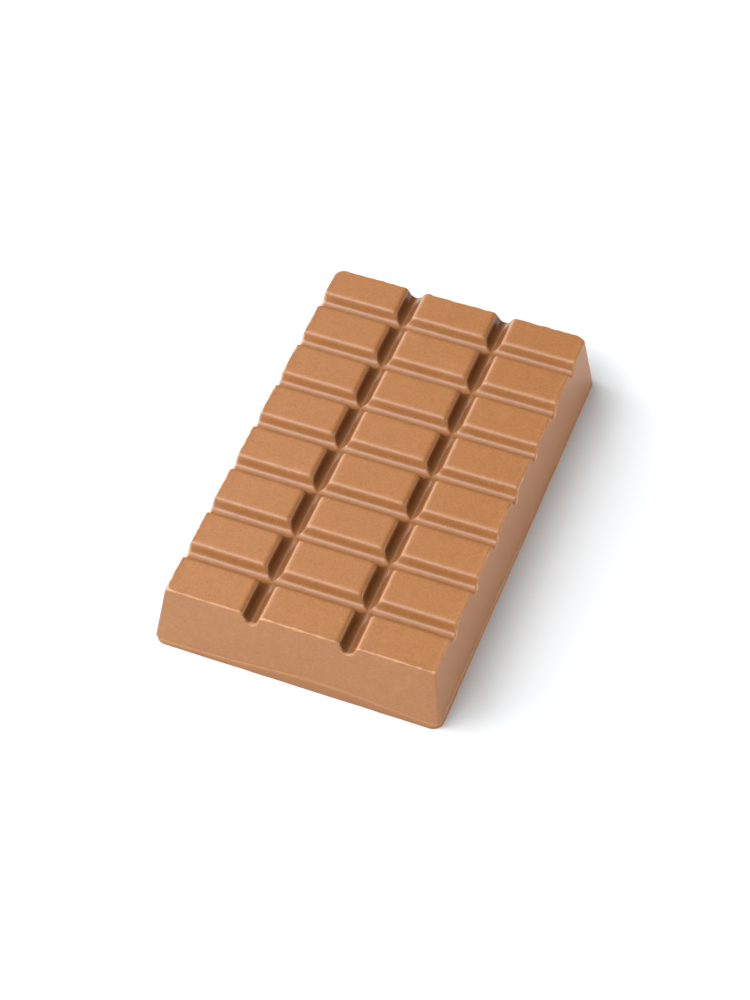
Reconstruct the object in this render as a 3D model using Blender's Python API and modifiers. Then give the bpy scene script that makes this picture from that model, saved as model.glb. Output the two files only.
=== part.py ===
"""A thick moulded block of milk chocolate, scored into three columns and eight rows of pieces.

The block is one solid. Its sides and ends lean in from the base to the top, as a mould's walls
do. Two lengthwise and seven crosswise grooves of one profile cut the top: a round floor, sloping
walls and a soft lip where each wall meets the flat top of a piece.

Frame: +Z up, +Y along the length, the origin on the table under the block's centre. Metres.
"""

import math
from collections import namedtuple

import bmesh
import bpy
from mathutils import Matrix

# The block.
BASE_WIDTH = 0.0751
BASE_LENGTH = 0.1211
HEIGHT = 0.0186
SIDE_LEAN = 0.0026  # how far each long side has moved in by the top
END_LEAN = 0.0030
CORNER_RADIUS = 0.0008  # of the four upright corners, seen from above
CORNER_STEPS = 6
RIM_RADIUS = 0.0004  # of the edges round the base and round the top
RIM_STEPS = 2

# The pieces: the pitch is from one groove's middle to the next.
COLUMNS = 3
ROWS = 8
COLUMN_PITCH = 0.0248
ROW_PITCH = 0.01495
ROW_SHIFT = 0.0008  # the row grooves sit a little towards the far end

# The grooves: a round floor, straight walls and round lips. The two kinds differ by a hair, so
# that no edge of one lies on an edge of the other where they cross.
Groove = namedtuple("Groove", "depth floor_radius lip_radius arc_steps")
LENGTHWISE = Groove(depth=0.00294, floor_radius=0.00165, lip_radius=0.00145, arc_steps=7)
CROSSWISE = Groove(depth=0.00290, floor_radius=0.00155, lip_radius=0.00135, arc_steps=6)
WALL_SLOPE = math.radians(65)  # from level
CUTTER_RISE = 0.0020  # how far a cutter stands over the top, and out past the block's ends

CHOCOLATE_COLOUR = (0.52, 0.235, 0.095, 1.0)
CHOCOLATE_ROUGHNESS = 0.42


def clear_scene():
    for obj in list(bpy.data.objects):
        bpy.data.objects.remove(obj, do_unlink=True)


def collection(name, shown=True):
    made = bpy.data.collections.new(name)
    made.hide_render = not shown
    bpy.context.scene.collection.children.link(made)
    return made


def move_to(obj, home):
    for old in list(obj.users_collection):
        old.objects.unlink(obj)
    home.objects.link(obj)


def chocolate():
    material = bpy.data.materials.new("milk_chocolate")
    material.use_nodes = True
    shader = material.node_tree.nodes["Principled BSDF"]
    shader.inputs["Base Color"].default_value = CHOCOLATE_COLOUR
    shader.inputs["Roughness"].default_value = CHOCOLATE_ROUGHNESS
    shader.inputs["Metallic"].default_value = 0.0
    return material


def groove_middles(count, pitch, shift=0.0):
    """Where the grooves between `count` pieces run, measured from the block's centre."""
    return [shift + (i - count / 2) * pitch for i in range(1, count)]


def lip_reach(groove):
    """From a groove's middle to where its lip meets the flat top."""
    radii = groove.floor_radius + groove.lip_radius
    turned_down = radii * (1 - math.cos(WALL_SLOPE))
    return radii * math.sin(WALL_SLOPE) + (groove.depth - turned_down) / math.tan(WALL_SLOPE)


def half_profile(groove):
    """(across, height over the top) from the floor's middle out along one wall and over its lip."""
    angles = [WALL_SLOPE * i / groove.arc_steps for i in range(groove.arc_steps + 1)]
    floor = [
        (groove.floor_radius * math.sin(a), groove.floor_radius * (1 - math.cos(a)) - groove.depth)
        for a in angles
    ]
    reach = lip_reach(groove)
    lip = [
        (reach - groove.lip_radius * math.sin(a), groove.lip_radius * (math.cos(a) - 1))
        for a in reversed(angles)
    ]
    # The lip's last facet runs on past the top, so that the cut leaves no sliver there.
    (x0, z0), (x1, z1) = lip[-2:]
    lip[-1] = (x1 + (x1 - x0), z1 + (z1 - z0))
    return floor + lip


def groove_outline(groove):
    half = half_profile(groove)
    left = [(-x, z) for x, z in reversed(half[1:])]
    edge = half[-1][0]
    return left + half + [(edge, CUTTER_RISE), (-edge, CUTTER_RISE)]


def groove_cutter(name, groove, half_length, home):
    """A bar of the groove's section, lying along X with the block's top at its height zero."""
    curve = bpy.data.curves.new(name, "CURVE")
    curve.dimensions = "2D"
    curve.fill_mode = "BOTH"
    curve.extrude = half_length
    outline = groove_outline(groove)
    spline = curve.splines.new("POLY")
    spline.points.add(len(outline) - 1)
    for point, (across, height) in zip(spline.points, outline):
        point.co = (across, height, 0.0, 1.0)
    spline.use_cyclic_u = True
    shape = bpy.data.objects.new(name + "_outline", curve)
    bpy.context.scene.collection.objects.link(shape)
    bpy.context.view_layer.update()
    evaluated = shape.evaluated_get(bpy.context.evaluated_depsgraph_get())
    mesh = bpy.data.meshes.new_from_object(evaluated)
    bpy.data.objects.remove(shape)
    bm = bmesh.new()
    bm.from_mesh(mesh)
    bmesh.ops.remove_doubles(bm, verts=bm.verts, dist=1e-6)
    # The outline stands in XY: stand it up across Y, and lay the bar along X.
    bmesh.ops.rotate(bm, verts=bm.verts, matrix=Matrix.Rotation(math.pi / 2, 3, "X"))
    bmesh.ops.rotate(bm, verts=bm.verts, matrix=Matrix.Rotation(math.pi / 2, 3, "Z"))
    bmesh.ops.recalc_face_normals(bm, faces=bm.faces)
    bm.to_mesh(mesh)
    bm.free()
    cutter = bpy.data.objects.new(name, mesh)
    cutter.hide_render = True
    cutter.display_type = "WIRE"
    home.objects.link(cutter)
    return cutter


def block(home):
    """The block before it is scored: a box whose top is drawn in, with round corners and rims."""
    bpy.ops.mesh.primitive_cube_add(size=1.0, location=(0.0, 0.0, 0.0))
    obj = bpy.context.object
    obj.name = "chocolate_bar"
    move_to(obj, home)
    bm = bmesh.new()
    bm.from_mesh(obj.data)
    bmesh.ops.translate(bm, verts=bm.verts, vec=(0.0, 0.0, 0.5))
    bmesh.ops.scale(bm, verts=bm.verts, vec=(BASE_WIDTH, BASE_LENGTH, HEIGHT))
    weight = bm.edges.layers.float.new("bevel_weight_edge")
    for vert in bm.verts:
        if vert.co.z > HEIGHT / 2:
            vert.co.x -= math.copysign(SIDE_LEAN, vert.co.x)
            vert.co.y -= math.copysign(END_LEAN, vert.co.y)
    for edge in bm.edges:
        low, high = sorted(vert.co.z for vert in edge.verts)
        if high - low > HEIGHT / 2:
            edge[weight] = 1.0
    bm.to_mesh(obj.data)
    bm.free()
    corners = obj.modifiers.new("round corners", "BEVEL")
    corners.limit_method = "WEIGHT"
    corners.width = CORNER_RADIUS
    corners.segments = CORNER_STEPS
    rims = obj.modifiers.new("round rims", "BEVEL")
    rims.limit_method = "ANGLE"
    rims.angle_limit = math.radians(50)
    rims.width = RIM_RADIUS
    rims.segments = RIM_STEPS
    return obj


def build():
    clear_scene()
    home = collection("chocolate_bar")
    cutters = collection("groove_cutters", shown=False)
    bar = block(home)
    for i, x in enumerate(groove_middles(COLUMNS, COLUMN_PITCH), start=1):
        half = BASE_LENGTH / 2 + CUTTER_RISE
        cutter = groove_cutter(f"lengthwise_groove_{i}", LENGTHWISE, half, cutters)
        cutter.rotation_euler = (0.0, 0.0, math.pi / 2)
        cutter.location = (x, 0.0, HEIGHT)
    for i, y in enumerate(groove_middles(ROWS, ROW_PITCH, ROW_SHIFT), start=1):
        half = BASE_WIDTH / 2 + CUTTER_RISE
        cutter = groove_cutter(f"crosswise_groove_{i}", CROSSWISE, half, cutters)
        cutter.location = (0.0, y, HEIGHT)
    # One cut with every groove at once, so that the crossings meet exactly.
    grooves = bar.modifiers.new("grooves", "BOOLEAN")
    grooves.operation = "DIFFERENCE"
    grooves.solver = "EXACT"
    grooves.operand_type = "COLLECTION"
    grooves.collection = cutters
    bar.data.materials.append(chocolate())
    bar.data.shade_smooth()
    bar.data.set_sharp_from_angle(angle=math.radians(25))


build()
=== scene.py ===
"""A thick scored block of milk chocolate on a white table, laid out as an add-on and run as a script.

The block is one piece, made by a Geometry Nodes tree on the CAD block's own sizes: a cube of fine
quads is gathered towards the grooves and the edges, drawn in towards the top, scored, rounded and
worn. Its look is one procedural material, which also reads four attributes that the tree leaves.
"""

import math

import bpy
from bpy.props import FloatProperty, FloatVectorProperty, IntProperty, PointerProperty
from mathutils import Matrix, Vector


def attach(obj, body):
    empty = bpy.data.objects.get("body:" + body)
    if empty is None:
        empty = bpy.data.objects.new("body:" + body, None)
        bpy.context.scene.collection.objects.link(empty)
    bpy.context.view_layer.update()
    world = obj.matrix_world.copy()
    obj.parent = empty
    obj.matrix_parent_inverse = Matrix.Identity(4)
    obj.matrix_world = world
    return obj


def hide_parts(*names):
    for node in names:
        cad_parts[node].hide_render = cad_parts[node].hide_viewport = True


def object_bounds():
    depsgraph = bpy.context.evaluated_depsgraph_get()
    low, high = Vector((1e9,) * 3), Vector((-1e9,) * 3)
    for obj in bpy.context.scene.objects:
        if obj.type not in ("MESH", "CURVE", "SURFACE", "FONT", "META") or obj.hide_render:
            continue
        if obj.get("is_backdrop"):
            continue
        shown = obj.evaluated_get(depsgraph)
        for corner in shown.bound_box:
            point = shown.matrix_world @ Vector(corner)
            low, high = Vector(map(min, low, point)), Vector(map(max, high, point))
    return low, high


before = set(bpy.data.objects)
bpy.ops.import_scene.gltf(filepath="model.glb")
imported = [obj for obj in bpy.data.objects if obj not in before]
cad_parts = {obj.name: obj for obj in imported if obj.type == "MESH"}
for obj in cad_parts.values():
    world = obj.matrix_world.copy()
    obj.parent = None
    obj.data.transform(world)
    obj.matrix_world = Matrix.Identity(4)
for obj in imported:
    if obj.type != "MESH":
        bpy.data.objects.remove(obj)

CAD_LOW, CAD_HIGH = (Vector(corner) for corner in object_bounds())
CAD_SIZE = CAD_HIGH - CAD_LOW
BLOCK_NODE = "chocolate_bar"

bl_info = {
    "name": "Scored Chocolate Block",
    "version": (1, 0, 0),
    "blender": (4, 5, 0),
    "location": "View3D > Sidebar > Chocolate",
    "description": "Makes a thick scored block of milk chocolate and a white table to show it on",
    "category": "Object",
}

MM = 0.001
TINY = 1e-7  # keeps a division from being by 0
WELD = 1e-6  # points nearer to each other than this are made one
NEARLY = 0.9999  # of 1, in tests that something is 1 or -1


# Writing node trees as expressions.


class Wire:
    """A value in a node tree. Python's operators on it add the Math nodes that work them out."""

    def __init__(self, graph, socket):
        self.graph = graph
        self.socket = socket

    def math(self, operation, *others):
        return self.graph.add("ShaderNodeMath", {"operation": operation}, [self, *others])

    def __add__(self, other):
        return self.math("ADD", other)

    def __sub__(self, other):
        return self.math("SUBTRACT", other)

    def __mul__(self, other):
        return self.math("MULTIPLY", other)

    def __truediv__(self, other):
        return self.math("DIVIDE", other)

    def __pow__(self, other):
        return self.math("POWER", other)

    def __gt__(self, other):
        return self.math("GREATER_THAN", other)

    def __lt__(self, other):
        return self.math("LESS_THAN", other)

    def __neg__(self):
        return self.math("MULTIPLY", -1.0)

    def __abs__(self):
        return self.math("ABSOLUTE")

    def __rsub__(self, other):
        return self.graph.add("ShaderNodeMath", {"operation": "SUBTRACT"}, [other, self])

    def __rtruediv__(self, other):
        return self.graph.add("ShaderNodeMath", {"operation": "DIVIDE"}, [other, self])

    __radd__ = __add__
    __rmul__ = __mul__

    def min(self, other):
        return self.math("MINIMUM", other)

    def max(self, other):
        return self.math("MAXIMUM", other)

    def smooth_max(self, other, reach):
        return self.math("SMOOTH_MAX", other, reach)

    def clamp(self, low=0.0, high=1.0):
        return self.max(low).min(high)

    def sqrt(self):
        return self.math("SQRT")

    def sin(self):
        return self.math("SINE")

    def sign(self):
        return self.math("SIGN")

    def round(self):
        return self.math("ROUND")

    def floor(self):
        return self.math("FLOOR")

    def ramp(self, low, high, to_low=0.0, to_high=1.0):
        """0 below `low` and 1 above `high`, with a smooth step between."""
        settings = {"interpolation_type": "SMOOTHSTEP"}
        return self.graph.add("ShaderNodeMapRange", settings, [self, low, high, to_low, to_high])


class Graph:
    """A node tree that is being written."""

    COLUMN = 190.0
    ROW = -170.0
    ROWS = 12

    def __init__(self, tree):
        self.tree = tree
        self.count = 0

    def add(self, kind, settings=None, inputs=(), output=0):
        """Adds one node: its settings first, then its inputs, by place among those in use or by name."""
        node = self.tree.nodes.new(kind)
        node.location = (self.COLUMN * (self.count // self.ROWS), self.ROW * (self.count % self.ROWS))
        self.count += 1
        for name, value in (settings or {}).items():
            setattr(node, name, value)
        if not isinstance(inputs, dict):
            used = [socket for socket in node.inputs if socket.enabled]
            inputs = dict(zip((socket.identifier for socket in used), inputs))
        for name, value in inputs.items():
            self.feed(self.find(node.inputs, name), value)
        return Wire(self, self.find(node.outputs, output)) if node.outputs else None

    @staticmethod
    def find(sockets, name):
        if isinstance(name, int):
            return [socket for socket in sockets if socket.enabled][name]
        for socket in sockets:
            if socket.enabled and name in (socket.identifier, socket.name):
                return socket
        raise KeyError(name)

    def feed(self, socket, value):
        if isinstance(value, Wire):
            self.tree.links.new(value.socket, socket)
        elif value is not None:
            socket.default_value = value

    def other(self, wire, output):
        """Another output of the node that made `wire`."""
        return Wire(self, self.find(wire.socket.node.outputs, output))

    def split(self, vector):
        x = self.add("ShaderNodeSeparateXYZ", inputs=[vector])
        return x, self.other(x, "Y"), self.other(x, "Z")

    def join(self, x, y, z):
        return self.add("ShaderNodeCombineXYZ", inputs=[x, y, z])

    def vector(self, operation, *values):
        return self.add("ShaderNodeVectorMath", {"operation": operation}, values)

    def vector_value(self, operation, *values):
        return self.add("ShaderNodeVectorMath", {"operation": operation}, values, "Value")

    def mix(self, factor, a, b):
        """The colour that is `a` where the factor is 0 and `b` where it is 1."""
        settings = {"data_type": "RGBA"}
        names = {"Factor_Float": factor, "A_Color": a, "B_Color": b}
        return self.add("ShaderNodeMix", settings, names, "Result_Color")

    def noise(self, place, size, detail=2.0, roughness=0.5, shift=0.0):
        """Smooth noise round 0, about 1 high, with features about `size` metres across."""
        settings = {"noise_dimensions": "4D"}
        names = {
            "Vector": place,
            "W": shift,
            "Scale": 1.0 / size,
            "Detail": detail,
            "Roughness": roughness,
        }
        return (self.add("ShaderNodeTexNoise", settings, names, "Fac") - 0.5) * 2.0


# The sizes and colours that a user would change.


def length(name, default, description, **more):
    return FloatProperty(
        name=name, default=default, description=description, unit="LENGTH", min=0.0, precision=5, **more
    )


def colour(name, default, description):
    return FloatVectorProperty(
        name=name, default=default, description=description, subtype="COLOR", min=0.0, max=1.0, size=3
    )


class BlockSizes(bpy.types.PropertyGroup):
    """Sizes of the chocolate block."""

    width: length("Width", CAD_SIZE.x, "Across the base")
    length: length("Length", CAD_SIZE.y, "Along the base")
    height: length("Height", CAD_SIZE.z, "From the table to the top of a piece")
    side_lean: length("Side Lean", 2.6 * MM, "How far a long side has moved in by the top")
    end_lean: length("End Lean", 3.0 * MM, "How far an end has moved in by the top")
    base_corner: length("Base Corner", 2.9 * MM, "Radius of an upright corner at the table")
    front_corner: length("Front Corner", 0.6 * MM, "Radius of a near upright corner above the table")
    back_corner: length("Back Corner", 1.9 * MM, "Radius of a far upright corner above the table")
    rim: length("Rim", 0.42 * MM, "Radius of the outer edge round the top")
    exit_rim: length("Exit Rim", 0.30 * MM, "How much rounder that edge is where a groove runs out")
    base_rim: length("Base Rim", 0.35 * MM, "Radius of the edge round the base")
    columns: IntProperty(name="Columns", default=3, min=2, description="Pieces across")
    rows: IntProperty(name="Rows", default=8, min=2, description="Pieces along")
    column_pitch: length("Column Pitch", 24.8 * MM, "Between two lengthwise grooves")
    row_pitch: length("Row Pitch", 14.95 * MM, "Between two crosswise grooves")
    row_shift: length("Row Shift", 0.8 * MM, "How far the rows sit towards the far end")
    groove_depth: length("Groove Depth", 2.9 * MM, "Down to a groove's floor")
    wall_slope: FloatProperty(
        name="Wall Slope", default=math.radians(65), subtype="ANGLE", description="Of a groove's walls"
    )
    floor_radius: length("Floor Radius", 1.65 * MM, "Of a groove's rounded floor")
    lip_radius: length("Lip Radius", 1.15 * MM, "Of the edge between a groove and the top of a piece")
    piece_corner: length("Piece Corner", 1.0 * MM, "Radius of a piece's corner, seen from above")
    band: length("Band", 1.0 * MM, "Least height of the rough band round the base")
    band_crest: length("Band Crest", 2.2 * MM, "How much higher the band is in the middle of the front")
    band_step: length("Band Step", 0.16 * MM, "How far the band stands out")
    wear: FloatProperty(
        name="Wear", default=1.0, min=0.0, max=2.0, description="Chips and uneven edges"
    )
    ripple: length("Ripple", 0.04 * MM, "How uneven the flat faces are")
    lines_across: IntProperty(name="Lines Across", default=54, min=6, description="Quads across one piece")
    lines_along: IntProperty(name="Lines Along", default=40, min=6, description="Quads along one piece")
    lines_up: IntProperty(name="Lines Up", default=46, min=6, description="Quads up a side")
    seed: IntProperty(name="Seed", default=4, description="Another seed wears the block elsewhere")


class ChocolateLook(bpy.types.PropertyGroup):
    """Colours of the chocolate."""

    base: colour("Base", (0.275, 0.1150, 0.038), "Most of the chocolate")
    deep: colour("Deep", (0.205, 0.079, 0.022), "Darker grain")
    groove: colour("Groove", (0.150, 0.054, 0.015), "Polished chocolate down in a groove")
    # The pale colour is real bloom and worn chips, and also a painted highlight along the rounded rims and
    # along the ledge under the band's top.
    pale: colour("Pale", (0.350, 0.170, 0.075), "Cloudy patches and worn edges")
    # The groove colour is painted shade: it darkens the grooves, most down the lengthwise ones.
    roughness: FloatProperty(name="Roughness", default=0.36, min=0.0, max=1.0, description="Sheen")
    groove_polish: FloatProperty(
        name="Groove Polish", default=0.10, min=0.0, max=1.0, description="How much smoother the grooves are"
    )


class StageLook(bpy.types.PropertyGroup):
    """The table, the lights and the camera."""

    floor_size: length("Floor Size", 3.0, "Across the table")
    floor: colour("Floor", (0.605, 0.62, 0.632), "Colour of the table")
    azimuth: FloatProperty(
        name="Azimuth", default=math.radians(20.458), subtype="ANGLE", description="0 looks along +Y"
    )
    elevation: FloatProperty(
        name="Elevation", default=math.radians(50.995), subtype="ANGLE", description="Over the horizon"
    )
    roll: FloatProperty(
        name="Roll", default=math.radians(0.487), subtype="ANGLE", description="Of the camera"
    )
    distance: length("Distance", 0.67126, "From the camera to what it looks at")
    lens: FloatProperty(name="Lens", default=95.97, min=1.0, description="Focal length in millimetres")


# The block's shape.

# How the quad lines are spread. 0 spreads them evenly over a piece, 1 packs them on its grooves.
GATHER_ACROSS = 0.6
GATHER_ALONG = 0.3
LOW_LINES = 0.4  # this share of a side's lines lies in the lowest part, where the band is
LOW_PART = 0.2
EDGE_HOLD = 24.0  # the higher, the less of the top moves out with the leaning side

CORNER_BLEND = 1.76  # reach of the smooth maximum that rounds a piece's corner, in radii
FLARE_LOW = 0.3 * MM  # between these heights an upright corner opens to the base corner
FLARE_HIGH = 2.0 * MM
EDGE_REACH = 2.0 * MM  # how far in from a side what is done to the side fades out

# What is uneven: the size of its features, their detail and roughness, and a shift of the seed.
UNEVEN = {
    "grooves": (9.0 * MM, 2.0, 0.5, 0.0),
    "rim": (2.2 * MM, 3.0, 0.6, 0.0),
    "chips": (3.5 * MM, 2.0, 0.5, 11.0),
    "faces": (14.0 * MM, 2.0, 0.5, 23.0),
    "pebbles": (1.6 * MM, 2.0, 0.6, 31.0),
    "band": (26.0 * MM, 1.0, 0.5, 41.0),
    "band_edge": (2.5 * MM, 2.0, 0.5, 43.0),
    "base": (1.8 * MM, 2.0, 0.6, 51.0),
}
SEED_STEP = 7.31  # how far apart two seeds lie in the noise
GROOVE_WANDER = 0.06 * MM
RIM_WAVE = 2.4  # how far the rim's radius wanders, in rims, and its least
RIM_LEAST = 0.25
BASE_WAVE = 1.6  # the same for the base rim
BASE_LEAST = 0.3
BASE_MOST = 2.5
CHIP_FROM = 0.42  # the noise makes a chip above this
CHIP_FULL = 0.60
CHIP_SIZE = 0.35 * MM
CHIP_FADE = 1.2 * MM  # how far down a side a chip's worn colour reaches
EXIT_FULL = 1.2 * MM  # the top edge has its full exit rim where a groove is this deep
PEBBLE_SHARE = 0.25  # of the ripple
FLUSH_SHARE = 1.25  # of the ripple: how far every face is set in, so that none stands proud

# Knocks in the top edge: where, how far each reaches and how much it rounds, in millimetres.
KNOCKS = (
    ((34.9, 6.0, 18.6), 4.2, 0.55),
    ((34.6, -2.6, 18.6), 2.0, 1.0),
    ((34.9, -10.2, 18.6), 1.0, 0.5),
    ((34.6, -26.8, 18.6), 1.6, 0.6),
    ((34.6, -42.2, 18.6), 1.8, 0.8),
    ((34.9, 21.0, 18.6), 3.0, 0.35),
    ((10.0, -57.4, 18.6), 0.9, 0.35),
    ((34.6, 57.2, 18.6), 2.6, 1.1),
    ((-34.6, -57.2, 18.6), 1.8, 0.5),
    ((-34.6, 57.2, 18.6), 2.4, 0.8),
    ((-10.6, 57.4, 18.6), 1.7, 0.9),
    ((14.2, 57.4, 18.6), 1.7, 0.9),
)

# The rough band round the base, from its top down: a crease, a step, a painted highlight along the ledge
# under the step (on the near side only) and fine ribs.
BAND_EASE = 0.42 * MM  # height of the step
CREASE_PLACE = 0.9  # over the band's top, in steps
CREASE_DEPTH = 0.10 * MM
LEDGE_PLACE = 0.5  # under the band's top, in steps
LEDGE_NARROW = 0.8  # the higher, the narrower the painted highlight along the ledge
LEDGE_WAVE = 1.5  # how much that colour comes and goes
LEDGE_LEVEL = 0.9
RIB_PITCH = 0.85 * MM
RIB_DEPTH = 0.03 * MM
CREST_PLACE = 6.0 * MM  # along the front, from its middle
CREST_REACH = 22.0 * MM
FRONT_FROM = -0.4  # of the length: the crest is only nearer than this
BAND_RISE = 0.7  # how far the band's height wanders away from the crest, in bands
BAND_EDGE_WAVE = 0.12  # the same for its finer waves, everywhere

# What the tree leaves for the material.
RIM_FULL = 0.05 * MM  # the rim counts in full where it is rounded down by this
HOLLOW_FULL = 1.0 * MM  # a groove gets its full painted shade and polish from this depth
HOLLOW_ACROSS = 0.2  # how much painted shade and polish a crosswise groove gets, where a lengthwise one gets 1
CROSSING_BLEND = 0.4 * MM


class GrooveProfile:
    """Half a groove's cross section: a round floor, a straight wall and a round lip."""

    def __init__(self, size):
        self.floor = size["floor_radius"]
        self.lip = size["lip_radius"]
        self.slope = size["wall_slope"]
        self.sine = self.slope.sin()
        self.cosine = self.slope.math("COSINE")
        self.depth = size["groove_depth"]
        wall_height = (self.depth - (self.floor + self.lip) * (1.0 - self.cosine)).max(0.0)
        self.wall = wall_height / self.sine
        self.floor_half = self.floor * self.sine
        self.wall_half = self.wall * self.cosine
        self.lip_half = self.lip * self.sine
        self.half = self.floor_half + self.wall_half + self.lip_half
        self.arc = (self.floor + self.lip) * self.slope + self.wall
        self.spare = self.arc - self.half

    def excess(self, arc):
        """How much longer the way along the profile is than the way across, after `arc` of it."""
        floor_arc = self.floor * self.slope
        lip_arc = self.lip * self.slope
        on_floor = arc.clamp(0.0, floor_arc)
        on_wall = (arc - floor_arc).clamp(0.0, self.wall)
        on_lip = (arc - floor_arc - self.wall).clamp(0.0, lip_arc)
        across = self.floor * (on_floor / self.floor).sin() + on_wall * self.cosine
        across = across + self.lip * (self.sine - (self.slope - on_lip / self.lip).sin())
        return on_floor + on_wall + on_lip - across

    def cut(self, offset):
        """How deep the groove is at `offset` from its middle, and the sine of its slope there."""
        on_floor = offset.clamp(0.0, self.floor_half)
        on_wall = (offset - self.floor_half).clamp(0.0, self.wall_half)
        to_top = (self.half - offset).clamp(0.0, self.lip_half)
        floor_rise = self.floor - (self.floor * self.floor - on_floor * on_floor).max(0.0).sqrt()
        lip_drop = self.lip - (self.lip * self.lip - to_top * to_top).max(0.0).sqrt()
        wall_drop = (self.wall_half - on_wall) * (self.sine / self.cosine)
        floor_drop = self.floor * (1.0 - self.cosine) - floor_rise
        sine = (on_floor / self.floor_half) * (to_top / self.lip)
        return floor_drop + wall_drop + lip_drop, sine


def nearest_groove(place, count, pitch, shift):
    """The middle of the nearest of the grooves between `count` pieces."""
    turn = ((place - shift) / pitch + count * 0.5).round()
    return (turn.max(1.0).min(count - 1.0) - count * 0.5) * pitch + shift


def line_place(part, count, half, pitch, shift, gather, profile):
    """Place along an axis of the quad line at `part` (0 to 1), evenly along the grooves' profile."""
    scaled = part * count
    cell = scaled.floor().max(0.0).min(count - 1.0)
    along = scaled - cell
    eased = along - (along * math.tau).sin() * (gather / math.tau)
    start = ((cell - count * 0.5) * pitch + shift).max(-half).min(half)
    end = ((cell + 1.0 - count * 0.5) * pitch + shift).max(-half).min(half)
    starts_in_groove = cell > 0.5
    ends_in_groove = cell < count - 1.5
    total = end - start + profile.spare * (starts_in_groove + ends_in_groove)
    arc = total * eased
    saved = starts_in_groove * profile.excess(arc)
    saved = saved + ends_in_groove * (profile.spare - profile.excess(total - arc))
    return start + arc - saved


def rounded(inward, depth, radius):
    """How far to move in and down, to round an edge that is `inward` and `depth` away."""
    core_in = inward.max(radius)
    core_down = depth.max(radius)
    over_in = (inward - radius).min(0.0)
    over_down = (depth - radius).min(0.0)
    shrink = radius / (over_in * over_in + over_down * over_down).sqrt().max(TINY)
    return core_in + over_in * shrink - inward, core_down + over_down * shrink - depth


def interface_input(tree, name, kind, default=None):
    """Adds a named input to a node tree."""
    socket = tree.interface.new_socket(name, in_out="INPUT", socket_type=kind)
    if default is not None:
        socket.default_value = default


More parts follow.
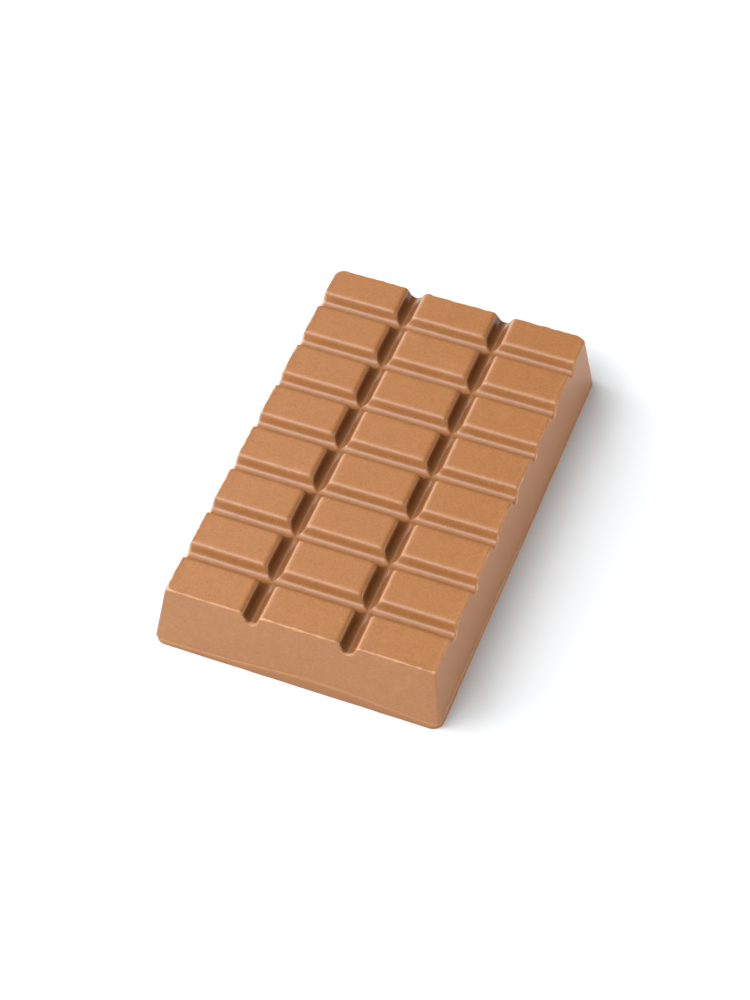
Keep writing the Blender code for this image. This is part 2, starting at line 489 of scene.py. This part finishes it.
def block_tree(sizes):
    """The Geometry Nodes tree of the block, with a named input for each size."""
    tree = bpy.data.node_groups.new("Scored Block", "GeometryNodeTree")
    names = {}
    for key, prop in sizes.bl_rna.properties.items():
        if prop.type in {"INT", "FLOAT"}:
            kind = "NodeSocketInt" if prop.type == "INT" else "NodeSocketFloat"
            interface_input(tree, prop.name, kind, prop.default)
            names[key] = prop.name
    interface_input(tree, "Chocolate", "NodeSocketMaterial")
    tree.interface.new_socket("Block", in_out="OUTPUT", socket_type="NodeSocketGeometry")

    g = Graph(tree)
    entry = g.add("NodeGroupInput")
    size = {key: g.other(entry, name) for key, name in names.items()}
    shift = size["seed"] * SEED_STEP

    def uneven_by(name, place):
        feature, detail, roughness, further = UNEVEN[name]
        return g.noise(place, feature, detail, roughness, shift + further)

    # A cube of quads, with no underside yet.
    lines = [
        size["columns"] * size["lines_across"] + 1,
        size["rows"] * size["lines_along"] + 1,
        size["lines_up"] + 1,
    ]
    cube = g.add("GeometryNodeMeshCube", inputs=[(2.0, 2.0, 1.0), *lines])
    cube_x, cube_y, cube_z = g.split(g.add("GeometryNodeInputPosition"))
    open_cube = g.add("GeometryNodeDeleteGeometry", {"domain": "FACE"}, [cube, cube_z < -0.5 * NEARLY])

    # Where each quad line lies at the height of the top.
    profile = GrooveProfile(size)
    half_x = size["width"] * 0.5 - size["side_lean"]
    half_y = size["length"] * 0.5 - size["end_lean"]
    columns, rows = size["columns"], size["rows"]
    top_x = line_place(
        cube_x * 0.5 + 0.5, columns, half_x, size["column_pitch"], 0.0, GATHER_ACROSS, profile
    )
    top_y = line_place(
        cube_y * 0.5 + 0.5, rows, half_y, size["row_pitch"], size["row_shift"], GATHER_ALONG, profile
    )

    # The grooves: how deep the top is cut here, and which way it slopes.
    here = g.join(top_x, top_y, 0.0)
    wander = uneven_by("grooves", here) * GROOVE_WANDER * size["wear"]
    to_groove_x = nearest_groove(top_x, columns, size["column_pitch"], 0.0) - top_x
    to_groove_y = nearest_groove(top_y, rows, size["row_pitch"], size["row_shift"]) - top_y
    over_x = profile.half + wander - abs(to_groove_x)
    over_y = profile.half + wander - abs(to_groove_y)
    shallow = (1.0 - over_x.min(over_y) / profile.half).clamp()
    over = over_x.smooth_max(over_y, size["piece_corner"] * CORNER_BLEND * shallow)
    depth, sine = profile.cut(profile.half - over)
    lengthwise = over_x > over_y
    down_x = sine * lengthwise * to_groove_x.sign()
    down_y = sine * (1.0 - lengthwise) * to_groove_y.sign()
    level = (1.0 - sine * sine).max(0.0).sqrt()
    rise = size["height"] - depth

    # How high this point is. A side's lines are even in its lowest part and then gather towards the
    # top, and the very lowest lie under the base rim.
    up = cube_z + 0.5
    to_top = 1.0 - ((up - LOW_LINES) / (1.0 - LOW_LINES)).max(0.0)
    low_up = up.min(LOW_LINES) * (LOW_PART / LOW_LINES)
    eased_up = low_up + (1.0 - to_top * to_top) * (1.0 - LOW_PART)
    ragged = uneven_by("base", here) * size["wear"]
    base_rim = size["base_rim"] * (1.0 + ragged * BASE_WAVE).clamp(BASE_LEAST, BASE_MOST)
    climb = eased_up * (rise + base_rim) - base_rim
    under = (-climb).max(0.0)
    height = climb.max(0.0)
    below_top = (rise - climb).max(0.0) * level

    # The sides lean out towards the table, and their corners open.
    lean = 1.0 - height / size["height"]
    flare = height.ramp(FLARE_LOW, FLARE_HIGH, 1.0, 0.0)
    upper = size["front_corner"] + (size["back_corner"] - size["front_corner"]) * (top_y > 0.0)
    corner = upper + (size["base_corner"] - upper) * flare

    def leaned(cube_place, place, most, half):
        out = most * lean
        moved = abs(place) + out * abs(cube_place) ** EDGE_HOLD
        limit = half + out
        return moved, limit

    wide, limit_x = leaned(cube_x, top_x, size["side_lean"], half_x)
    long, limit_y = leaned(cube_y, top_y, size["end_lean"], half_y)
    core_x = limit_x - corner
    core_y = limit_y - corner
    past_x = (wide - core_x).max(0.0)
    past_y = (long - core_y).max(0.0)
    reach = (past_x * past_x + past_y * past_y).sqrt().max(TINY)
    shrink = past_x.max(past_y) / reach
    plan_x = wide.min(core_x) + past_x * shrink
    plan_y = long.min(core_y) + past_y * shrink
    out_x = past_x / reach * top_x.sign()
    out_y = past_y / reach * top_y.sign()
    inward = (limit_x - wide).min(limit_y - long).max(0.0)
    place_x = plan_x * top_x.sign()
    place_y = plan_y * top_y.sign()

    # Wear: an uneven rim, a few chips in it, and sides and top that aren't quite flat.
    spot = g.join(place_x, place_y, height)
    uneven = uneven_by("rim", spot) * size["wear"]
    chips = (uneven_by("chips", spot) * size["wear"]).ramp(CHIP_FROM, CHIP_FULL)
    runs_out = (depth / EXIT_FULL).clamp() * size["exit_rim"]
    knocked = knocks(g, spot, KNOCKS) * size["wear"]
    wavy_rim = size["rim"] * (1.0 + uneven * RIM_WAVE).max(RIM_LEAST)
    rim = wavy_rim + chips * CHIP_SIZE + runs_out + knocked
    rim_in, rim_down = rounded(inward, below_top, rim)
    base_in, base_up = rounded(under, height, base_rim)

    waves = uneven_by("faces", spot) * size["ripple"]
    pebbled = uneven_by("pebbles", spot) * size["ripple"] * PEBBLE_SHARE
    edge = inward.ramp(0.0, EDGE_REACH, 1.0, 0.0)

    # The rough band round the base ends in a wandering step.
    band_top = band_height(uneven_by, g.join(place_x, place_y, 0.0), place_x, place_y, size)
    above = (height - band_top) / BAND_EASE
    step = above.ramp(-0.5, 0.5)
    crease = (1.0 - abs(above - CREASE_PLACE)).max(0.0)
    # Painted highlight: pale colour along the ledge under the band's top, on the near side only.
    painted_ledge_highlight = (1.0 - abs(above + LEDGE_PLACE) * LEDGE_NARROW).max(0.0) * (place_y < 0.0)
    painted_ledge_highlight = painted_ledge_highlight * (uneven * LEDGE_WAVE + LEDGE_LEVEL).clamp()
    ribs = ((band_top - height) * (math.tau / RIB_PITCH) + uneven).sin() * RIB_DEPTH * (1.0 - step)
    inset = size["band_step"] * step + crease * CREASE_DEPTH + ribs

    flush = (waves + pebbled + size["ripple"] * FLUSH_SHARE).max(0.0)
    push_in = rim_in + base_in + (inset + flush) * edge
    moved = g.join(
        place_x - out_x * push_in - down_x * rim_down,
        place_y - out_y * push_in - down_y * rim_down,
        height + base_up - level * rim_down - flush * (1.0 - edge) * up,
    )

    # What the material reads: chipped rims and a painted highlight along the ledge, the band, how deep in a
    # groove (for painted shade and polish there), and the rounded rim (for a painted rim highlight).
    # They are stored first, because a value stored later is worked out on moved points.
    on_top = up > NEARLY
    along_groove = (over_x - over_y).ramp(-CROSSING_BLEND, CROSSING_BLEND)
    # How much painted shade and polish a groove gets: full along lengthwise grooves, less across.
    painted_shade_and_polish = HOLLOW_ACROSS + (1.0 - HOLLOW_ACROSS) * along_groove
    chipped_rim = (chips * edge * below_top.ramp(0.0, CHIP_FADE, 1.0, 0.0)).clamp()
    kept = open_cube
    for name, value in (
        ("wear", chipped_rim.max(painted_ledge_highlight)),
        ("band", 1.0 - step),
        ("hollow", (depth / HOLLOW_FULL).clamp() * on_top * painted_shade_and_polish),
        ("rim", abs(rim_down / RIM_FULL).clamp()),
    ):
        kept = g.add(
            "GeometryNodeStoreNamedAttribute",
            {"data_type": "FLOAT", "domain": "POINT"},
            {"Geometry": kept, "Name": name, "Value": value},
        )
    kept = g.add("GeometryNodeSetPosition", inputs={"Geometry": kept, "Position": moved})

    # The underside closes the ring that the sides end in.
    rim_edges = g.add("GeometryNodeInputMeshEdgeNeighbors") < 1.5
    ring = g.add("GeometryNodeMeshToCurve", inputs={"Mesh": kept, "Selection": rim_edges})
    under_face = g.add("GeometryNodeFillCurve", {"mode": "NGONS"}, {"Curve": ring})
    under_face = g.add("GeometryNodeFlipFaces", inputs=[under_face])
    joined = g.add("GeometryNodeJoinGeometry")
    for part in (under_face, kept):
        tree.links.new(part.socket, joined.socket.node.inputs[0])
    whole = g.add("GeometryNodeMergeByDistance", inputs={"Geometry": joined, "Distance": WELD})
    smooth = g.add("GeometryNodeSetShadeSmooth", inputs={"Geometry": whole, "Shade Smooth": True})
    flat_faces = g.split(g.add("GeometryNodeInputNormal"))[2] < -NEARLY
    smooth = g.add(
        "GeometryNodeSetShadeSmooth",
        inputs={"Geometry": smooth, "Selection": flat_faces, "Shade Smooth": False},
    )
    real = g.add("GeometryNodeRealizeInstances", inputs=[smooth])
    dressed = g.add(
        "GeometryNodeSetMaterial", inputs={"Geometry": real, "Material": g.other(entry, "Chocolate")}
    )
    g.add("NodeGroupOutput", inputs={"Block": dressed})
    return tree


def band_height(uneven_by, plan, x, y, size):
    """How high the rough band round the base reaches here."""
    from_crest = (x - CREST_PLACE) / CREST_REACH
    crest = (-(from_crest * from_crest)).math("EXPONENT") * (y < FRONT_FROM * CAD_SIZE.y)
    elsewhere = (uneven_by("band", plan) * BAND_RISE).max(0.0) * (1.0 - crest)
    ragged = uneven_by("band_edge", plan) * BAND_EDGE_WAVE
    return size["band"] * (1.0 + elsewhere + ragged) + size["band_crest"] * crest


def knocks(g, spot, places):
    """How much rounder an edge is here for the places where it has been knocked."""
    total = None
    for place, reach, more in places:
        centre = tuple(value * MM for value in place)
        near = (1.0 - g.vector_value("DISTANCE", spot, centre) / (reach * MM)).clamp()
        knock = near * near * (3.0 - 2.0 * near) * (more * MM)
        total = knock if total is None else total + knock
    return total


# The chocolate.

# Noises in the chocolate: the size of their features, their detail and roughness, and a shift.
GRAIN = (0.55 * MM, 2.0, 0.6, 0.0)
MOTTLE = (2.4 * MM, 3.0, 0.6, 3.0)
CLOUD = (11.0 * MM, 3.0, 0.55, 7.0)
STREAK = (1.4 * MM, 2.0, 0.5, 9.0)
STREAK_STRETCH = (1.0, 1.0, 0.12)  # streaks run up the sides

# The brown between deep and base.
TONE_LEVEL = 0.65
TONE_MOTTLE = 0.26
TONE_STREAK = 0.20
SIDE_LOW = 17.5 * MM  # the streaks fade out between these heights
SIDE_HIGH = 18.3 * MM

# How much of the pale, deep and groove colours shows, where they show in full.
BLOOM = 0.35
BLOOM_MOTTLE = 0.5
BLOOM_FROM = 0.15
BLOOM_FULL = 0.9
# A painted highlight along the rounded rim: how much pale shows, and its level.
RIM_HIGHLIGHT_SHARE = 0.6
RIM_HIGHLIGHT_LEVEL = 0.9
WORN_AND_LEDGE_HIGHLIGHT = 0.9
BAND_DEEP = 0.6
# Painted shade in the grooves: how much of the groove colour shows there.
GROOVE_PAINTED_SHADE = 0.8

# How much rougher than the rest.
MATT_GRAIN = 0.05
MATT_MOTTLE = 0.04
MATT_WORN = 0.2
MATT_BAND = 0.08
ROUGH_LEAST = 0.05

RELIEF_GROOVE = 0.02
RELIEF_OPEN = 0.55
RELIEF_MOTTLE = 0.9
RELIEF_STRENGTH = 0.30
RELIEF_HEIGHT = 0.02 * MM
CHOCOLATE_IOR = 1.5


def chocolate_material(look):
    """Satin milk chocolate: a fine grain, cloudy bloom, worn chips, painted highlights along the rims and
    the band's ledge, and smoother grooves darkened with painted shade.
    """
    material = bpy.data.materials.new("milk_chocolate_satin")
    material.use_nodes = True
    material.node_tree.nodes.clear()
    g = Graph(material.node_tree)
    place = g.add("ShaderNodeTexCoord", output="Object")
    height = g.split(place)[2]
    kept = {
        name: g.add("ShaderNodeAttribute", {"attribute_name": name}, output="Fac")
        for name in ("wear", "band", "hollow", "rim")
    }
    open_top = 1.0 - kept["hollow"]

    grain = g.noise(place, *GRAIN)
    mottle = g.noise(place, *MOTTLE)
    cloud = g.noise(place, *CLOUD)
    streak = g.noise(g.vector("MULTIPLY", place, STREAK_STRETCH), *STREAK)
    side = height.ramp(SIDE_LOW, SIDE_HIGH, 1.0, 0.0) * open_top
    tone = (grain + mottle * TONE_MOTTLE + streak * side * TONE_STREAK + TONE_LEVEL).clamp()
    deep, base, pale, groove = ((*rgb, 1.0) for rgb in (look.deep, look.base, look.pale, look.groove))
    brown = g.mix(tone, deep, base)
    bloom = (cloud + mottle * BLOOM_MOTTLE).ramp(BLOOM_FROM, BLOOM_FULL) * BLOOM * open_top
    # Painted highlight: pale colour along the rounded rim, broken up by the grain and mottle.
    painted_rim_highlight = (kept["rim"] * (grain + mottle + RIM_HIGHLIGHT_LEVEL)).clamp() * RIM_HIGHLIGHT_SHARE
    # Pale for bloom and worn chips, and for the painted highlights along the ledge and the rim.
    brown = g.mix((bloom + kept["wear"] * WORN_AND_LEDGE_HIGHLIGHT).max(painted_rim_highlight).clamp(), brown, pale)
    brown = g.mix(kept["band"] * BAND_DEEP, brown, deep)
    # Painted shade: the groove colour darkens the grooves by their depth, in full down the lengthwise ones.
    brown = g.mix(kept["hollow"] * GROOVE_PAINTED_SHADE, brown, groove)

    matt = (grain * MATT_GRAIN + mottle * MATT_MOTTLE) * open_top
    matt = matt + kept["wear"] * MATT_WORN + kept["band"] * MATT_BAND
    rough = (look.roughness + matt - kept["hollow"] * look.groove_polish).clamp(ROUGH_LEAST, 1.0)
    relief = grain * (RELIEF_GROOVE + RELIEF_OPEN * open_top) + mottle * RELIEF_MOTTLE
    bump = g.add(
        "ShaderNodeBump",
        inputs={"Strength": RELIEF_STRENGTH, "Distance": RELIEF_HEIGHT, "Height": relief},
    )
    shader = g.add(
        "ShaderNodeBsdfPrincipled",
        inputs={"Base Color": brown, "Roughness": rough, "IOR": CHOCOLATE_IOR, "Normal": bump},
    )
    g.add("ShaderNodeOutputMaterial", inputs={"Surface": shader})
    return material


def plain_material(name, rgb, roughness):
    """One even colour, for the table."""
    material = bpy.data.materials.new(name)
    material.use_nodes = True
    shader = material.node_tree.nodes["Principled BSDF"]
    shader.inputs["Base Color"].default_value = (*rgb, 1.0)
    shader.inputs["Roughness"].default_value = roughness
    return material


def link(obj):
    """Puts an object in the scene, and gives it back."""
    bpy.context.scene.collection.objects.link(obj)
    return obj


def set_modifier_inputs(modifier, values):
    """Sets a Geometry Nodes modifier's inputs by name, through their identifiers."""
    for item in modifier.node_group.interface.items_tree:
        if item.item_type == "SOCKET" and item.in_out == "INPUT":
            modifier[item.identifier] = values[item.name]


class CHOCOLATE_OT_block(bpy.types.Operator):
    """Make the scored block of milk chocolate"""

    bl_idname = "chocolate.block"
    bl_label = "Chocolate Block"

    def execute(self, context):
        sizes = context.scene.chocolate_sizes
        tree = block_tree(sizes)
        values = {
            prop.name: getattr(sizes, key)
            for key, prop in sizes.bl_rna.properties.items()
            if prop.type in {"INT", "FLOAT"}
        }
        values["Chocolate"] = chocolate_material(context.scene.chocolate_look)
        seed_mesh = bpy.data.meshes.new("block_seed")
        block = bpy.data.objects.new("milk_chocolate_block", seed_mesh)
        modifier = block.modifiers.new("Scored Block", "NODES")
        modifier.node_group = tree
        set_modifier_inputs(modifier, values)
        link(block)
        context.view_layer.update()
        evaluated = block.evaluated_get(context.evaluated_depsgraph_get())
        mesh = bpy.data.meshes.new_from_object(evaluated)
        if not mesh.polygons:
            raise RuntimeError("the block came out empty")
        block.modifiers.clear()
        block.data = mesh
        bpy.data.meshes.remove(seed_mesh)
        mesh.name = "milk_chocolate_block"
        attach(block, "root")
        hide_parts(BLOCK_NODE)
        return {"FINISHED"}


# The table, the lights and the camera.

FLOOR_ROUGHNESS = 0.7
ROOM_LIGHT = 0.05
AIM = Vector((0.13 * MM, -6.30 * MM, CAD_SIZE.z / 2))
NEAR_CLIP = 0.01
LIGHT_DISTANCE = 1.3
# The lights: azimuth, elevation, width, height and brightness. Azimuth 0 is in front of the block.
LIGHTS = {
    "left_softbox": (-75.0, 40.0, 1.10, 1.00, 5.5),
    "left_strip": (-75.0, 24.0, 1.10, 0.40, 3.5),
    "left_low_panel": (-90.0, 11.0, 1.60, 0.50, 3.3),
    "far_left_panel": (-132.0, 14.0, 0.90, 0.60, 4.2),
    "far_left_softbox": (-125.0, 40.0, 1.10, 1.00, 1.3),
    "overhead_softbox": (-90.0, 76.0, 1.00, 0.90, 1.8),
    "front_softbox": (-25.0, 45.0, 1.20, 1.10, 2.8),
    "front_accent": (-24.0, 53.0, 0.50, 0.50, 6.5),
    "front_low_panel": (-40.0, 11.0, 1.20, 0.50, 1.7),
    "right_strip": (90.0, 16.0, 1.20, 0.30, 5.2),
    "right_low_panel": (90.0, 6.0, 1.60, 0.28, 5.9),
    "far_right_panel": (130.0, 6.0, 1.00, 0.28, 2.6),
    "near_right_panel": (50.0, 6.0, 1.00, 0.28, 2.4),
}


def direction(azimuth, elevation):
    """The unit vector from the block towards an azimuth and an elevation in radians."""
    level = math.cos(elevation)
    return Vector((math.sin(azimuth) * level, -math.cos(azimuth) * level, math.sin(elevation)))


def area_light(name, azimuth, elevation, width, height, brightness):
    """A flat light that faces the block, level side to side, and as bright from any distance."""
    data = bpy.data.lights.new(name, "AREA")
    data.shape = "RECTANGLE"
    data.size = width
    data.size_y = height
    data.energy = math.pi * width * height * brightness
    light = link(bpy.data.objects.new(name, data))
    away = direction(math.radians(azimuth), math.radians(elevation))
    level = Vector((0.0, 0.0, 1.0)).cross(away).normalized()
    light.location = away * LIGHT_DISTANCE
    light.rotation_euler = Matrix((level, away.cross(level), away)).transposed().to_euler()
    light.visible_camera = False
    return light


class CHOCOLATE_OT_stage(bpy.types.Operator):
    """Make the table, the lights and the camera"""

    bl_idname = "chocolate.stage"
    bl_label = "Table, Lights and Camera"

    def execute(self, context):
        look = context.scene.chocolate_stage
        bpy.ops.mesh.primitive_plane_add(size=look.floor_size)
        floor = context.object
        floor.name = "white_table"
        floor.data.materials.append(plain_material("white_table_top", look.floor, FLOOR_ROUGHNESS))
        floor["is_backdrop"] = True

        world = bpy.data.worlds.new("studio")
        world.use_nodes = True
        background = world.node_tree.nodes["Background"]
        background.inputs["Color"].default_value = (1.0, 1.0, 1.0, 1.0)
        background.inputs["Strength"].default_value = ROOM_LIGHT
        context.scene.world = world
        for name, settings in LIGHTS.items():
            area_light(name, *settings)

        camera_data = bpy.data.cameras.new("camera")
        camera_data.lens = look.lens
        camera_data.clip_start = NEAR_CLIP
        camera = link(bpy.data.objects.new("camera", camera_data))
        backward = direction(look.azimuth, look.elevation)
        camera.location = AIM + backward * look.distance
        aim = backward.to_track_quat("Z", "Y").to_matrix() @ Matrix.Rotation(look.roll, 3, "Z")
        camera.rotation_euler = aim.to_euler()
        context.scene.camera = camera
        context.scene.view_settings.view_transform = "Standard"
        return {"FINISHED"}


class CHOCOLATE_PT_panel(bpy.types.Panel):
    """Lists the operators and their settings"""

    bl_idname = "CHOCOLATE_PT_panel"
    bl_label = "Chocolate Block"
    bl_space_type = "VIEW_3D"
    bl_region_type = "UI"
    bl_category = "Chocolate"

    def draw(self, context):
        layout = self.layout
        groups = (
            (CHOCOLATE_OT_block, ("chocolate_sizes", "chocolate_look")),
            (CHOCOLATE_OT_stage, ("chocolate_stage",)),
        )
        for operator, holders in groups:
            box = layout.box()
            box.operator(operator.bl_idname)
            for holder in holders:
                settings = getattr(context.scene, holder)
                for name in settings.__annotations__:
                    box.prop(settings, name)


SETTINGS = {
    "chocolate_sizes": BlockSizes,
    "chocolate_look": ChocolateLook,
    "chocolate_stage": StageLook,
}
CLASSES = (*SETTINGS.values(), CHOCOLATE_OT_block, CHOCOLATE_OT_stage, CHOCOLATE_PT_panel)


def register():
    for cls in CLASSES:
        bpy.utils.register_class(cls)
    for name, cls in SETTINGS.items():
        setattr(bpy.types.Scene, name, PointerProperty(type=cls))


def unregister():
    for name in SETTINGS:
        delattr(bpy.types.Scene, name)
    for cls in reversed(CLASSES):
        bpy.utils.unregister_class(cls)


def main():
    register()
    bpy.ops.chocolate.block()
    bpy.ops.chocolate.stage()


if __name__ == "__main__":
    main()
